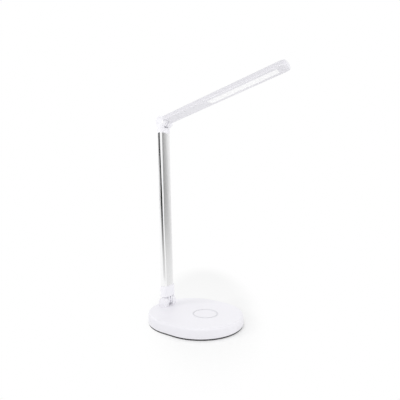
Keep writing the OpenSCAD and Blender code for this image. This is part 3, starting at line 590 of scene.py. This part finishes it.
@dataclass(frozen=True)
class CrossScrews:
    """Flat-headed screws with a cross recess that stand for one packed set of plain ones.

    They take their places and sizes from the plain screws. The recess's sizes are shares of the
    head's radius, but for its taper, which is the size of its floor as a share of its mouth.
    """

    node: str
    body: str
    finish: Finish
    outward: Place
    edge: float = 0.1 * MM
    recess_reach: float = 0.56
    recess_width: float = 0.26
    recess_depth: float = 0.36
    recess_taper: float = 0.6
    sides: int = 48
    near: float = 0.02 * MM

    def build(self) -> None:
        """Makes the screws as one piece that rides with its body and takes the set's place."""
        name = f"{self.node}_crossed"
        form = bmesh.new()
        for corners in loose_parts(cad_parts[self.node].data, self.near):
            self._screw(form, PlainScrew.measured(corners, Vector(self.outward), self.near))
        bmesh.ops.recalc_face_normals(form, faces=form.faces)
        mesh = bpy.data.meshes.new(name)
        form.to_mesh(mesh)
        form.free()
        mesh.materials.append(self.finish.made())
        piece = placed(name, mesh)
        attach(piece, self.body)
        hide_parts(self.node)
        log.info("%s built", piece.name)

    def _screw(self, form: bmesh.types.BMesh, plain: PlainScrew) -> None:
        """Adds one screw.

        Args:
            form: The mesh that takes it.
            plain: The screw that it stands for.
        """
        head, shank = plain.head_radius, plain.shank_radius
        # From the head's face down its 45-degree cone and the shank to the tip.
        turned = (
            (head - 2 * self.edge, 0.0),
            (head - self.edge, self.edge),
            (shank, head - shank),
            (shank, plain.length - self.edge),
            (shank - self.edge, plain.length),
        )
        rings = [self._ring(form, plain, self._circle(radius), depth) for radius, depth in turned]
        for upper, lower in zip(rings, rings[1:]):
            self._join(form, upper, lower)
        form.faces.new(rings[-1])
        mouth = self._ring(form, plain, self._cross(head), 0.0)
        floor = self._ring(form, plain, self._cross(head * self.recess_taper),
                           head * self.recess_depth)
        self._join(form, mouth, floor)
        # The floor of each arm of the cross runs between two inner corners, 2, 5, 8 and 11.
        for start in range(2, len(floor), 3):
            form.faces.new([floor[(start + step) % len(floor)] for step in range(4)])
        form.faces.new(floor[2::3])
        rims = self._edges(form, rings[0]) + self._edges(form, mouth)
        bmesh.ops.triangle_fill(form, edges=rims, use_beauty=True)

    def _ring(self, form: bmesh.types.BMesh, plain: PlainScrew, outline: Outline,
              depth: float) -> list[bmesh.types.BMVert]:
        """Adds the corners of an outline across the screw, this far under its head's face."""
        return [form.verts.new(plain.spot(across, up, depth)) for across, up in outline]

    def _circle(self, radius: float) -> Outline:
        """The corners of a circle."""
        steps = [math.tau * side / self.sides for side in range(self.sides)]
        return [(radius * math.cos(step), radius * math.sin(step)) for step in steps]

    def _cross(self, radius: float) -> Outline:
        """The outline of the recess.

        Args:
            radius: The radius of a head that it fits.

        Returns:
            Its corners, three to each arm, of which the last is the inner one.
        """
        reach = radius * self.recess_reach
        half = radius * self.recess_width / 2
        arm = ((reach, -half), (reach, half), (half, half))
        quarters = ((1, 0), (0, 1), (-1, 0), (0, -1))
        return [(x * c - y * s, x * s + y * c) for c, s in quarters for x, y in arm]

    def _join(self, form: bmesh.types.BMesh, upper: list[bmesh.types.BMVert],
              lower: list[bmesh.types.BMVert]) -> None:
        """Joins two rings of as many corners with four-sided faces."""
        for number, corner in enumerate(upper):
            form.faces.new((upper[number - 1], corner, lower[number], lower[number - 1]))

    def _edges(self, form: bmesh.types.BMesh,
               ring: list[bmesh.types.BMVert]) -> list[bmesh.types.BMEdge]:
        """The edges round a ring."""
        return [form.edges.get((ring[number - 1], corner)) for number, corner in enumerate(ring)]


@dataclass
class Assembly:
    """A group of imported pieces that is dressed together."""

    title: str

    def finishes(self) -> dict[str, Finish]:
        """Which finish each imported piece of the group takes, by the name of its node."""
        raise NotImplementedError

    def build(self) -> None:
        """Adds the group's own pieces; a plain group has none."""

    def dress(self) -> None:
        """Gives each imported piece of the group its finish."""
        for node, finish in self.finishes().items():
            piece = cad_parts[node]
            for slot in piece.material_slots:
                slot.material = finish.made()
            log.info("%s: %s dressed in %s", self.title, node, finish.name)


@dataclass
class Base(Assembly):
    """The weighted base with its charger and boards."""

    title: str = "base"

    def finishes(self) -> dict[str, Finish]:
        """Chooses the finishes of the base.

        Returns:
            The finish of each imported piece, by the name of its node.
        """
        return {
            "base_cover": WHITE,
            "floor_plate": PALE,
            "antislip_pad": PAD,
            "ballast_plate": BALLAST,
            "ballast_screws": STEEL,
            "cover_screws": STEEL,
            "grip_ring": GRIP,
            "charging_coil": self._winding("charging_coil"),
            "ferrite_sheet": DARK,
            "touch_board": MASK,
            "main_board": MASK,
            "board_components": CHIP,
            "board_screws": STEEL,
            "power_inlet": STEEL,
            "inlet_board": MASK,
        }

    def _winding(self, node: str) -> Winding:
        """Copper turns that fit a packed coil.

        Args:
            node: The coil's node.

        Returns:
            The finish, wound round the coil's middle.
        """
        low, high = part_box(node)
        middle = (low + high) / 2
        return Winding("copper_winding", COPPER, middle=(middle.x, middle.y))


@dataclass
class LowerHinge(Assembly):
    """The lower friction hinge."""

    title: str = "lower hinge"

    def finishes(self) -> dict[str, Finish]:
        """Chooses the finishes of the lower hinge.

        Returns:
            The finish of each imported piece, by the name of its node.
        """
        return {
            "hinge_block": HINGE_WHITE_PAINTED_LIGHT,
            "hinge_block_bolts": STEEL,
            "lower_pin": STEEL,
            "lower_disc_springs": SPRING,
            "lower_nut": STEEL,
            "lower_washers": NYLON,
            "lower_hinge_caps": HINGE_WHITE_PAINTED_LIGHT,
        }


@dataclass
class Arm(Assembly):
    """The arm tube with its foot and fork, which leans back by a few degrees."""

    title: str = "arm"
    lean: float = 1.9

    def build(self) -> None:
        """Makes the screws in the back of the arm."""
        lean = math.radians(self.lean)
        back = (-math.cos(lean), 0.0, -math.sin(lean))
        CrossScrews("arm_screws", "arm", STEEL, back).build()

    def finishes(self) -> dict[str, Finish]:
        """Chooses the finishes of the arm, apart from its own screws.

        Returns:
            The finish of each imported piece, by the name of its node.
        """
        return {
            "arm_foot": HINGE_WHITE_PAINTED_LIGHT,
            "arm_tube": TUBE,
            "arm_lead": LEAD,
            "arm_top": HINGE_WHITE_PAINTED_LIGHT,
            "upper_pin": STEEL,
            "upper_disc_springs": SPRING,
            "upper_nut": STEEL,
            "upper_washers": NYLON,
            "upper_hinge_caps": HINGE_WHITE_PAINTED_LIGHT,
        }


@dataclass
class LightBar(Assembly):
    """The light bar with its LEDs and diffuser, which rises by a few degrees."""

    title: str = "light bar"
    rise: float = 11.6

    def build(self) -> None:
        """Makes the screws under the bar, as white as its frame."""
        rise = math.radians(self.rise)
        down = (math.sin(rise), 0.0, -math.cos(rise))
        CrossScrews("frame_screws", "head", WHITE, down).build()

    def finishes(self) -> dict[str, Finish]:
        """Chooses the finishes of the light bar, apart from its own screws.

        Returns:
            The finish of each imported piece, by the name of its node.
        """
        return {
            "head_knuckle": HINGE_WHITE_PAINTED_LIGHT,
            "knuckle_screws": STEEL,
            "head_shell": SILVER_WHITE,
            "heat_spreader": BARE_ALUMINIUM,
            "led_board": BOARD_WHITE,
            "leds": PHOSPHOR,
            "diffuser": OPAL,
            "head_frame": WHITE,
        }


@dataclass(frozen=True)
class Rung:
    """One level of a card: its height, and the directions between which the card stands there.

    The height is in metres, and the directions are in degrees from the X axis.
    """

    height: float
    start: float
    end: float


@dataclass(frozen=True)
class Card:
    """A curved card round the arm that only shiny surfaces see.

    It stands at its reach from its middle and glows from one grey at the floor to another at its
    top height, above which it stays the same. Lengths are in metres.
    """

    name: str
    reach: float
    rungs: tuple[Rung, ...]
    foot_grey: float
    top_grey: float
    top_height: float
    middle: tuple[float, float] = (-0.071, -0.014)
    steps: int = 12

    def build(self) -> None:
        """Makes the card's mesh and material and hides it from all but glossy rays."""
        row = self.steps + 1
        corners = [self._corner(rung, step / self.steps) for rung in self.rungs
                   for step in range(row)]
        faces = [
            (low + step, low + step + 1, low + row + step + 1, low + row + step)
            for low in range(0, row * (len(self.rungs) - 1), row)
            for step in range(self.steps)
        ]
        mesh = bpy.data.meshes.new(self.name)
        mesh.from_pydata(corners, [], faces)
        mesh.materials.append(self._material())
        card = placed(self.name, mesh)
        for kind in ("camera", "diffuse", "transmission", "volume_scatter", "shadow"):
            setattr(card, f"visible_{kind}", False)

    def _corner(self, rung: Rung, share: float) -> Place:
        """A place on a rung.

        Args:
            rung: The level of the card.
            share: How far along the rung the place is, from nothing to one.

        Returns:
            The place, in metres.
        """
        angle = math.radians(rung.start + (rung.end - rung.start) * share)
        return (self.middle[0] + self.reach * math.cos(angle),
                self.middle[1] + self.reach * math.sin(angle), rung.height)

    def _material(self) -> bpy.types.Material:
        """Makes the card's glowing grey, which changes with the height.

        Returns:
            The new material.
        """
        sheet = Sheet.named(f"{self.name}_paper")
        share = sheet.ramp(sheet.height(), 0.0, self.top_height)
        return sheet.finish({
            "Base Color": opaque(BLACK),
            "Roughness": 1.0,
            "Specular IOR Level": 0.0,
            "Emission Color": sheet.mix(share, (self.foot_grey,) * 3, (self.top_grey,) * 3),
            "Emission Strength": 1.0,
        })


@dataclass(frozen=True)
class Lamp:
    """A soft square lamp that shiny surfaces don't mirror.

    Its spot, the place it is aimed at and its side are in metres, and its power is in watts.
    """

    name: str
    spot: Place
    aim: Place
    side: float
    power: float

    def build(self) -> None:
        """Hangs the lamp and turns it to its aim."""
        data = bpy.data.lights.new(self.name, "AREA")
        data.shape = "SQUARE"
        data.size = self.side
        data.energy = self.power
        lamp = placed(self.name, data)
        lamp.location = self.spot
        direction = Vector(self.aim) - Vector(self.spot)
        lamp.rotation_euler = direction.to_track_quat("-Z", "Y").to_euler()
        lamp.visible_glossy = False


@dataclass
class Studio:
    """A pale floor, soft lamps, a white surround and cards that the bright tube mirrors.

    The floor's grey paper inside the oval is a painted shade that keeps the rendered shadows; the
    floor turns plain white further out, between the two shares of the way to the oval's edge that
    `shade_fades` gives.
    """

    floor_size: float = 12.0
    # The paper's grey is a painted shade, which the oval below keeps behind the lamp.
    floor_painted_shade_colour: Colour = (0.87, 0.87, 0.87)
    floor_darkest: float = 0.997
    floor_cloud_scale: float = 3.0
    floor_roughness: float = 0.9
    shade_middle: Place = (-0.061, 0.122, 0.0)
    shade_turn: float = 34.7
    shade_half_size: Place = (0.1, 0.31, 1.0)
    shade_fades: tuple[float, float] = (0.63, 1.22)
    surround: float = 0.8
    cards: tuple[Card, ...] = (
        Card("dark_card", 0.35, (
            Rung(0.0, 265.0, 355.0), Rung(0.05, 250.0, 345.0), Rung(0.109, 237.0, 324.0),
            Rung(0.165, 230.0, 306.0), Rung(0.222, 228.4, 300.0), Rung(0.277, 228.4, 288.0),
            Rung(0.337, 227.0, 272.0), Rung(0.38, 226.0, 260.0), Rung(0.45, 225.0, 249.0),
        ), foot_grey=0.75, top_grey=0.0, top_height=0.22),
        Card("grey_card", 0.236, (
            Rung(0.0, 35.0, 51.6), Rung(0.07, 30.0, 51.6), Rung(0.122, 10.0, 51.5),
            Rung(0.175, -8.0, 51.4), Rung(0.227, -2.0, 51.3), Rung(0.279, -8.0, 51.4),
            Rung(0.371, -10.0, 51.6), Rung(0.45, -10.0, 51.7),
        ), foot_grey=0.8, top_grey=0.35, top_height=0.27),
    )
    lamps: tuple[Lamp, ...] = (
        Lamp("overhead", (-0.15, 0.45, 1.6), (-0.05, 0.1, 0.0), side=1.4, power=5.6),
        Lamp("left", (-0.6, -0.8, 0.5), (-0.05, 0.0, 0.15), side=0.4, power=2.5),
        Lamp("right", (1.0, -0.2, 0.42), (-0.05, 0.0, 0.18), side=0.4, power=2.2),
    )

    def build(self) -> None:
        """Makes the floor, the surround, the cards and the lamps."""
        self._floor()
        self._surround()
        for prop in (*self.cards, *self.lamps):
            prop.build()
        log.info("studio built")

    def _floor(self) -> None:
        """Makes the floor."""
        half = self.floor_size / 2
        corners = [(-half, -half, 0.0), (half, -half, 0.0), (half, half, 0.0), (-half, half, 0.0)]
        mesh = bpy.data.meshes.new("floor")
        mesh.from_pydata(corners, [], [(0, 1, 2, 3)])
        mesh.materials.append(self._paper())
        floor = placed("floor", mesh)

    def _paper(self) -> bpy.types.Material:
        """Makes the floor's paper: a painted grey shade inside the oval, plain white further out.

        Returns:
            The new material.
        """
        sheet = Sheet.named("floor_paper_painted_shade")
        tint = tuple(self.floor_darkest * part for part in self.floor_painted_shade_colour)
        paper = sheet.wire("ShaderNodeBsdfPrincipled", {
            "Base Color": sheet.mix(sheet.noise(self.floor_cloud_scale), tint, self.floor_painted_shade_colour),
            "Roughness": self.floor_roughness,
            "Specular IOR Level": 0.0,
        })
        white = sheet.wire("ShaderNodeEmission", {"Color": opaque(PURE_WHITE), "Strength": 1.0})
        away = sheet.oval(self.shade_middle, self.shade_turn, self.shade_half_size)
        share = sheet.ramp(away, *self.shade_fades) * sheet.seen()
        surface = sheet.wire("ShaderNodeMixShader", {0: share, 1: paper, 2: white})
        sheet.close("ShaderNodeOutputMaterial", surface)
        return sheet.owner

    def _surround(self) -> None:
        """Makes the surround: white to the eye and in mirrors, softer as a light."""
        world = bpy.data.worlds.new("surround")
        bpy.context.scene.world = world
        sheet = Sheet(world)
        lit, white = (
            sheet.wire("ShaderNodeBackground", {"Color": opaque(PURE_WHITE), "Strength": strength})
            for strength in (self.surround, 1.0)
        )
        surface = sheet.wire("ShaderNodeMixShader", {0: sheet.seen(), 1: lit, 2: white})
        sheet.close("ShaderNodeOutputWorld", surface)


@dataclass
class Viewpoint:
    """The camera, standing where the photographer stood.

    Its spot and the distances between which it sees are in metres, its turn and tilt are in
    degrees, and its focal length and sensor width are in millimetres.
    """

    spot: Place = (0.3310, -0.4640, 0.2121)
    turn: float = 34.7
    tilt: float = 0.4
    focal_length: float = 28.7
    sensor_width: float = 36.0
    nearest: float = 0.01
    farthest: float = 50.0

    def build(self) -> None:
        """Makes the camera and makes it the scene's."""
        data = bpy.data.cameras.new("camera")
        data.lens = self.focal_length
        data.sensor_width = self.sensor_width
        data.clip_start = self.nearest
        data.clip_end = self.farthest
        camera = placed("camera", data)
        camera.location = self.spot
        camera.rotation_euler = (math.radians(90.0 + self.tilt), 0.0, math.radians(self.turn))
        bpy.context.scene.camera = camera
        log.info("camera at %s", self.spot)


def main() -> None:
    """Builds the looks in order: base, lower hinge, arm, light bar, studio and camera."""
    logging.basicConfig(level=logging.INFO, format="%(name)s: %(message)s")
    for group in (Base(), LowerHinge(), Arm(), LightBar()):
        group.build()
        group.dress()
    Studio().build()
    Viewpoint().build()
    bpy.context.scene.view_settings.view_transform = "Standard"


if __name__ == "__main__":
    main()
